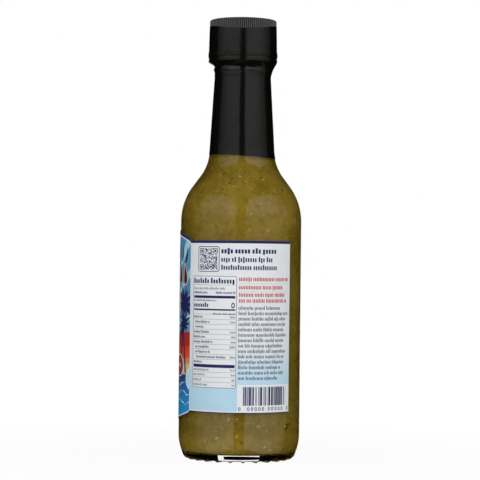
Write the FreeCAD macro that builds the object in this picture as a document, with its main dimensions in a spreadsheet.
import FreeCAD, Part
import math
import os
import Sketcher

# A five-ounce hot sauce bottle: clear glass with knurled foot, the sauce inside it,
# a ribbed screw cap, a shrunk tamper band over cap and neck, and a die-cut wrap label.
# Millimetres. The bottle stands on Z = 0 with its axis on Z; the label's small-print
# panel faces -Y and its picture panel faces back and to the left.

doc = FreeCAD.newDocument("SauceBottle")
sheet = doc.addObject("Spreadsheet::Sheet", "Dim")

driving_sizes = {
    # outside of the glass, from the foot up
    "body_radius": 23.42,
    "heel_corner_height": 6.6,
    "heel_round": 18.0,
    "heel_tuck": 2.22,
    "foot_round": 2.6,
    "shoulder_corner_height": 99.2,
    "shoulder_round": 24.6,
    "shoulder_rise": 14.0,
    "neck_flare": 2.07,
    "neck_round": 17.0,
    "glass_height": 166.7,
    "finish_radius": 10.85,
    "finish_drop": 5.4,
    "bead_rise": 0.55,
    "bead_width": 1.8,
    "bead_drop": 3.0,
    "rim_round": 0.9,
    # foot of the glass: a ring cut into knurls round a shallow push-up
    "ring_width": 4.0,
    "ring_round": 1.2,
    "push_up": 1.2,
    "push_up_round": 14.0,
    "knurl_count": 25,
    "knurl_gap": 3.3,
    "knurl_depth": 0.55,
    "knurl_turn": 8.6,
    # inside of the glass
    "wall": 2.2,
    "floor_height": 2.9,
    "floor_rise": 2.0,
    "floor_round": 6.0,
    "finish_wall": 3.25,
    # sauce
    "headspace": 25.7,
    "sauce_clearance": 0.04,
    # screw cap
    "cap_height": 16.4,
    "cap_roof": 3.05,
    "cap_seat_clearance": 0.05,
    "cap_top_round": 1.3,
    "cap_wall": 1.05,
    "thread_room": 1.3,
    "cap_taper": 0.25,
    "skirt_height": 2.6,
    "skirt_round": 0.5,
    "skirt_bead_rise": 0.16,
    "skirt_bead_width": 1.2,
    "rib_foot_height": 5.2,
    "rib_count": 100,
    "rib_valley": 0.56,
    "rib_depth": 0.32,
    # shrink band
    "film": 0.12,
    "film_clearance": 0.04,
    "band_head_drop": 2.6,
    "band_foot_rise": 3.5,
    "band_foot_tilt": 3.5,
    "tuck_drop": 4.8,
    "tuck_round": 5.0,
    # wrap label
    "label_thickness": 0.12,
    "label_clearance": 0.03,
    "label_foot_height": 19.2,
    "label_head_drop": 7.0,
    "label_wrap": 308.9,
    "small_print_end": 178.9,
    "picture_turn": -126.4,
    "picture_half_angle": 72.7,
    "arch_rise": 5.0,
}
for row, (name, number) in enumerate(driving_sizes.items(), start=1):
    sheet.set(f"A{row}", name)
    sheet.set(f"B{row}", str(number))
    sheet.setAlias(f"B{row}", name)
doc.recompute()


def measure(text):
    number = sheet.evalExpression(text)
    return float(getattr(number, "Value", number))


def bind(thing, **expressions):
    for name, text in expressions.items():
        thing.setExpression(name, text)


def originPart(body, role):
    return next(item for item in body.Origin.OriginFeatures if item.Role == role)


def newBody(label):
    body = doc.addObject("PartDesign::Body", label)
    body.Label = label
    body.Placement = FreeCAD.Placement()
    return body


def newSketch(body, name, plane):
    sketch = body.newObject("Sketcher::SketchObject", name)
    sketch.AttachmentSupport = [(originPart(body, plane), "")]
    sketch.MapMode = "FlatFace"
    return sketch


def pin(sketch, geometry, vertex, across, up):
    # holds one vertex at two bound coordinates, or on an axis where one of them is nought
    for kind, axis, text in (("DistanceX", -2, across), ("DistanceY", -1, up)):
        if text == "0":
            sketch.addConstraint(Sketcher.Constraint("PointOnObject", geometry, vertex, axis))
            continue
        made = sketch.addConstraint(
            Sketcher.Constraint(kind, -1, 1, geometry, vertex, measure(text)))
        sketch.setExpression(f"Constraints[{made}]", text)


def drawOutline(sketch, corners):
    # Closed outline through bound corners (across, up, round). A corner with a round is
    # an arc tangent to both of its sides; its own point is kept for construction.
    spots = [FreeCAD.Vector(measure(across), measure(up), 0) for across, up, _ in corners]
    count = len(corners)
    leave, arrive, arcs = {}, {}, {}
    for index, (_, _, rounding) in enumerate(corners):
        leave[index] = spots[index]
        arrive[index] = spots[index]
        if rounding:
            back = (spots[index - 1] - spots[index]).normalize()
            ahead = (spots[(index + 1) % count] - spots[index]).normalize()
            radius = measure(rounding)
            half = back.getAngle(ahead) / 2
            reach = radius / math.tan(half)
            arrive[index] = spots[index] + back * reach
            leave[index] = spots[index] + ahead * reach
            middle = spots[index] + (back + ahead).normalize() * (radius / math.sin(half))
            leftTurn = back.cross(ahead).z < 0
            first, last = (arrive, leave) if leftTurn else (leave, arrive)
            angles = [math.atan2(end[index].y - middle.y, end[index].x - middle.x)
                      for end in (first, last)]
            circle = Part.Circle(middle, FreeCAD.Vector(0, 0, 1), radius)
            arc = sketch.addGeometry(Part.ArcOfCircle(circle, angles[0], angles[1]))
            arcs[index] = (arc, 1 if leftTurn else 2, 2 if leftTurn else 1)
    sides = [sketch.addGeometry(Part.LineSegment(leave[index], arrive[(index + 1) % count]))
             for index in range(count)]
    for index, (across, up, rounding) in enumerate(corners):
        before, after = sides[index - 1], sides[index]
        if not rounding:
            sketch.addConstraint(Sketcher.Constraint("Coincident", before, 2, after, 1))
            pin(sketch, after, 1, across, up)
            continue
        arc, arcStart, arcEnd = arcs[index]
        sketch.addConstraint(Sketcher.Constraint("Tangent", before, 2, arc, arcStart))
        sketch.addConstraint(Sketcher.Constraint("Tangent", arc, arcEnd, after, 1))
        made = sketch.addConstraint(Sketcher.Constraint("Radius", arc, measure(rounding)))
        sketch.setExpression(f"Constraints[{made}]", rounding)
        point = sketch.addGeometry(Part.Point(spots[index]), True)
        sketch.addConstraint(Sketcher.Constraint("PointOnObject", point, 1, before))
        sketch.addConstraint(Sketcher.Constraint("PointOnObject", point, 1, after))
        pin(sketch, point, 1, across, up)
    doc.recompute()


def revolve(body, sketch, name):
    turned = body.newObject("PartDesign::Revolution", name)
    turned.Profile = sketch
    turned.ReferenceAxis = (sketch, ["V_Axis"])
    turned.Angle = 360
    sketch.Visibility = False
    doc.recompute()
    return turned


def cutOnwards(body, sketch, name, length):
    # a pocket along its sketch's own normal, on the far side from the usual one
    pocket = body.newObject("PartDesign::Pocket", name)
    pocket.Profile = sketch
    pocket.Reversed = True
    bind(pocket, Length=length)
    doc.recompute()
    return pocket


def repeatRound(body, feature, name, count):
    pattern = body.newObject("PartDesign::PolarPattern", name)
    pattern.Originals = [feature]
    pattern.Axis = (originPart(body, "Z_Axis"), [""])
    pattern.Angle = 360
    bind(pattern, Occurrences=count)
    body.Tip = pattern
    doc.recompute()
    return pattern


# Places that several pieces share, each worked out from the sheet.
foot_radius = "(Dim.body_radius - Dim.heel_tuck)"
ring_inner_radius = f"({foot_radius} - Dim.ring_width)"
neck_corner_radius = "(Dim.finish_radius + Dim.neck_flare)"
neck_corner_height = "(Dim.shoulder_corner_height + Dim.shoulder_rise)"
bore_radius = "(Dim.finish_radius - Dim.finish_wall)"
fill_height = "(Dim.glass_height - Dim.headspace)"
cap_top_height = "(Dim.glass_height + Dim.cap_seat_clearance + Dim.cap_roof)"
skirt_foot = f"({cap_top_height} - Dim.cap_height)"
neck_top_height = f"({skirt_foot} - Dim.finish_drop)"
skirt_radius = "(Dim.finish_radius + Dim.thread_room + Dim.cap_wall)"
skirt_bead_radius = f"({skirt_radius} + Dim.skirt_bead_rise)"
bead_foot = f"({skirt_foot} + Dim.skirt_height)"
bead_head = f"({bead_foot} + Dim.skirt_bead_width)"
rib_foot = f"({skirt_foot} + Dim.rib_foot_height)"
rib_foot_radius = f"({skirt_radius} - Dim.cap_taper / 2)"

# A wall parallel to the outside moves both shoulder corners in by its own thickness and
# down by that times the tangent of half the shoulder's slope.
shoulder_tangent = f"tan(atan((Dim.body_radius - {neck_corner_radius}) / Dim.shoulder_rise) / 2)"
body_top = f"(Dim.shoulder_corner_height - Dim.shoulder_round * {shoulder_tangent})"


def shoulderCorners(inset):
    return [
        (f"Dim.body_radius - ({inset})",
         f"Dim.shoulder_corner_height - ({inset}) * {shoulder_tangent}",
         f"Dim.shoulder_round - ({inset})"),
        (f"{neck_corner_radius} - ({inset})",
         f"{neck_corner_height} - ({inset}) * {shoulder_tangent}",
         f"Dim.neck_round + ({inset})"),
    ]


def insideRadius(height, inset):
    # radius of the tapering neck bore, between the shoulder and the foot of the finish
    low = f"({neck_corner_height} - ({inset}) * {shoulder_tangent})"
    wide = f"({neck_corner_radius} - ({inset}))"
    narrow = f"({bore_radius} + Dim.wall - ({inset}))"
    return f"{wide} + ({narrow} - {wide}) * ({height} - {low}) / ({neck_top_height} - {low})"


def insideFloor(inset):
    # the floor inside, a shallow cone over the push-up, out to the rounded heel
    extra = f"({inset} - Dim.wall)"
    return [
        ("0", f"Dim.floor_height + Dim.floor_rise + {extra}", None),
        (f"Dim.body_radius - ({inset})", f"Dim.floor_height + {extra}",
         f"Dim.floor_round - {extra}"),
    ]


def makeGlass():
    body = newBody("glass_bottle")
    sketch = newSketch(body, "GlassProfile", "XZ_Plane")
    bead_radius = "Dim.finish_radius + Dim.bead_rise"
    bead_middle = f"{skirt_foot} - Dim.bead_drop"
    outside = [
        ("0", "Dim.push_up", None),
        (f"{ring_inner_radius} / 2", "Dim.push_up", "Dim.push_up_round"),
        (ring_inner_radius, "0", "Dim.ring_round"),
        (foot_radius, "0", "Dim.foot_round"),
        ("Dim.body_radius", "Dim.heel_corner_height", "Dim.heel_round"),
        *shoulderCorners("0"),
        ("Dim.finish_radius", neck_top_height, None),
        ("Dim.finish_radius", f"{bead_middle} - Dim.bead_width / 2", None),
        (bead_radius, f"{bead_middle} - Dim.bead_width / 2", "Dim.bead_width * 0.4"),
        (bead_radius, f"{bead_middle} + Dim.bead_width / 2", "Dim.bead_width * 0.4"),
        ("Dim.finish_radius", f"{bead_middle} + Dim.bead_width / 2", None),
        ("Dim.finish_radius", "Dim.glass_height", "Dim.rim_round"),
    ]
    inside = [
        (bore_radius, "Dim.glass_height", "Dim.rim_round"),
        (bore_radius, neck_top_height, None),
        *reversed(shoulderCorners("Dim.wall")),
        *reversed(insideFloor("Dim.wall")),
    ]
    drawOutline(sketch, outside + inside)
    blank = revolve(body, sketch, "GlassBlank")

    gapSketch = newSketch(body, "KnurlGapProfile", "YZ_Plane")
    half_gap = "Dim.knurl_gap / 2"
    drawOutline(gapSketch, [
        (f"-{half_gap}", "-Dim.knurl_depth", None),
        (half_gap, "-Dim.knurl_depth", None),
        (f"{half_gap} - Dim.knurl_depth", "Dim.knurl_depth", None),
        (f"-({half_gap} - Dim.knurl_depth)", "Dim.knurl_depth", None),
    ])
    gap = cutOnwards(body, gapSketch, "KnurlGap", "Dim.body_radius")
    knurled = repeatRound(body, gap, "Knurls", "Dim.knurl_count")
    bind(body, **{"Placement.Rotation.Angle": "Dim.knurl_turn"})
    return body, blank.Shape.Volume - knurled.Shape.Volume


def makeSauce():
    body = newBody("sauce")
    sketch = newSketch(body, "SauceProfile", "XZ_Plane")
    inset = "Dim.wall + Dim.sauce_clearance"
    drawOutline(sketch, [
        *insideFloor(inset),
        *shoulderCorners(inset),
        (insideRadius(fill_height, inset), fill_height, None),
        ("0", fill_height, None),
    ])
    revolve(body, sketch, "SauceFill")
    return body


def capSide(out):
    # the cap's outer side from ribs to skirt foot, moved out by a clearance or a film
    return [
        (f"{rib_foot_radius} + {out}", rib_foot, None),
        (f"{skirt_bead_radius} + {out}", bead_head, "Dim.skirt_round"),
        (f"{skirt_bead_radius} + {out}", bead_foot, "Dim.skirt_round"),
        (f"{skirt_radius} + {out}", f"{bead_foot} - Dim.skirt_round", None),
    ]


def makeCap():
    body = newBody("screw_cap")
    sketch = newSketch(body, "CapProfile", "XZ_Plane")
    roof = "Dim.glass_height + Dim.cap_seat_clearance"
    inner = "Dim.finish_radius + Dim.thread_room"
    drawOutline(sketch, [
        ("0", roof, None),
        ("0", cap_top_height, None),
        (f"{skirt_radius} - Dim.cap_taper", cap_top_height, "Dim.cap_top_round"),
        *capSide("0"),
        (skirt_radius, skirt_foot, "Dim.skirt_round"),
        (inner, skirt_foot, None),
        (inner, roof, None),
    ])
    blank = revolve(body, sketch, "CapBlank")

    valleySketch = newSketch(body, "RibValleyProfile", "XY_Plane")
    bind(valleySketch, **{"AttachmentOffset.Base.z": rib_foot})
    mouth = f"{rib_foot_radius} + Dim.rib_depth"
    # the valley's sides run on past the crest, so that its width holds at the crest
    spread = "Dim.rib_valley"
    drawOutline(valleySketch, [
        (f"{rib_foot_radius} - Dim.rib_depth", "0", None),
        (mouth, f"-({spread})", None),
        (mouth, spread, None),
    ])
    rib_length = f"{cap_top_height} - Dim.cap_top_round - {rib_foot}"
    cut = cutOnwards(body, valleySketch, "RibValley", rib_length)
    ribbed = repeatRound(body, cut, "Ribs", "Dim.rib_count")
    return body, blank.Shape.Volume - ribbed.Shape.Volume


def makeBand():
    body = newBody("shrink_band")
    sketch = newSketch(body, "BandProfile", "XZ_Plane")

    def side(out):
        # one face of the film: down the cap, in under its skirt and down the neck
        return [
            (f"{rib_foot_radius} + {out}", f"{cap_top_height} - Dim.band_head_drop", None),
            *capSide(out),
            (f"{skirt_radius} + {out}", f"{skirt_foot} - {out}", None),
            (f"Dim.finish_radius + {out}", f"{skirt_foot} - Dim.tuck_drop", "Dim.tuck_round"),
            (f"{neck_corner_radius} + {out}",
             f"{neck_corner_height} + ({out}) * {shoulder_tangent}",
             f"Dim.neck_round - ({out})"),
            (f"Dim.body_radius + {out}",
             f"Dim.shoulder_corner_height + ({out}) * {shoulder_tangent}", None),
        ]

    outer = side("(Dim.film_clearance + Dim.film)")
    inner = side("Dim.film_clearance")
    drawOutline(sketch, outer + list(reversed(inner)))
    blank = revolve(body, sketch, "BandBlank")

    footSketch = newSketch(body, "BandFootLine", "XZ_Plane")
    reach = "Dim.body_radius * 1.5"
    lean = f"{reach} * tan(Dim.band_foot_tilt * 1 deg)"
    middle = f"{neck_corner_height} + Dim.band_foot_rise"
    drawOutline(footSketch, [
        (f"-({reach})", f"{middle} + {lean}", None),
        (f"-({reach})", "Dim.label_foot_height", None),
        (reach, "Dim.label_foot_height", None),
        (reach, f"{middle} - {lean}", None),
    ])
    foot = body.newObject("PartDesign::Pocket", "BandFoot")
    foot.Profile = footSketch
    foot.Type = "ThroughAll"
    foot.Midplane = True
    doc.recompute()
    return body, blank.Shape.Volume - foot.Shape.Volume


def makeLabel():
    # A tube cut to the label's outline: straight edges round the back and sides, and
    # one elliptical arch above and one below the picture panel.
    inner_radius = "Dim.body_radius + Dim.label_clearance"
    outer_radius = f"({inner_radius} + Dim.label_thickness)"
    foot = "Dim.label_foot_height"
    height = f"({body_top} - Dim.label_head_drop - {foot})"
    reach = "(Dim.body_radius * 2)"

    def tube(name, radius, wrap):
        made = doc.addObject("Part::Cylinder", name)
        bind(made, Radius=radius, Angle=wrap,
             Height=f"{height} + 4 * Dim.arch_rise",
             **{"Placement.Base.z": f"{foot} - 2 * Dim.arch_rise"})
        return made

    def arch(name, base):
        outline = doc.addObject("Part::Ellipse", name + "Outline")
        bind(outline, MinorRadius="Dim.arch_rise",
             MajorRadius=f"{outer_radius} * sin(Dim.picture_half_angle * 1 deg)")
        outline.Placement = FreeCAD.Placement(
            FreeCAD.Vector(), FreeCAD.Rotation(FreeCAD.Vector(1, 0, 0), 90))
        bind(outline, **{"Placement.Base.z": base})
        made = doc.addObject("Part::Extrusion", name)
        made.Base = outline
        made.DirMode = "Custom"
        made.Dir = FreeCAD.Vector(0, -1, 0)
        made.Solid = True
        bind(made, LengthFwd=reach)
        return made

    outer = tube("LabelOuter", outer_radius, "Dim.label_wrap")
    bind(outer, **{"Placement.Rotation.Angle": "270 + Dim.small_print_end - Dim.label_wrap"})
    sleeve = doc.addObject("Part::Cut", "LabelSleeve")
    sleeve.Base = outer
    sleeve.Tool = tube("LabelInner", inner_radius, "360")

    straight = doc.addObject("Part::Box", "LabelStraight")
    bind(straight, Length=f"2 * {reach}", Width=f"2 * {reach}", Height=height,
         **{"Placement.Base.x": f"-{reach}", "Placement.Base.y": f"-{reach}",
            "Placement.Base.z": foot})
    outline = doc.addObject("Part::MultiFuse", "LabelOutline")
    outline.Shapes = [straight, arch("ArchBelow", foot),
                      arch("ArchAbove", f"{foot} + {height}")]
    label = doc.addObject("Part::Common", "wrap_label")
    label.Base = sleeve
    label.Tool = outline
    bind(label, **{"Placement.Rotation.Angle": "Dim.picture_turn"})
    doc.recompute()
    return label, sleeve.Shape.Volume - label.Shape.Volume


glass, knurl_cut = makeGlass()
sauce = makeSauce()
cap, rib_cut = makeCap()
band, foot_cut = makeBand()
label, outline_cut = makeLabel()
doc.recompute()

for name, removed in (("knurls", knurl_cut), ("ribs", rib_cut), ("band foot", foot_cut),
                      ("label outline", outline_cut)):
    print(f"{name}: {removed:.2f} mm3 cut away")
    if removed <= 0:
        raise RuntimeError(f"the cut for the {name} removed nothing")

for item in doc.Objects:
    if "Invalid" in item.State or "Error" in item.State:
        raise RuntimeError(f"{item.Name} failed: {item.State}")

os.makedirs("parts", exist_ok=True)
for piece in (glass, sauce, cap, band, label):
    shape = piece.Shape
    if shape.isNull() or not shape.isValid() or len(shape.Solids) != 1:
        raise RuntimeError(f"{piece.Label} is not one valid solid")
    shape.exportStep(f"parts/{piece.Label}.step")
    box = shape.BoundBox
    print(f"{piece.Label}: {shape.Volume / 1000:.2f} cm3, {len(shape.Faces)} faces, "
          f"Z {box.ZMin:.2f} to {box.ZMax:.2f}, X {box.XMin:.2f} to {box.XMax:.2f}")
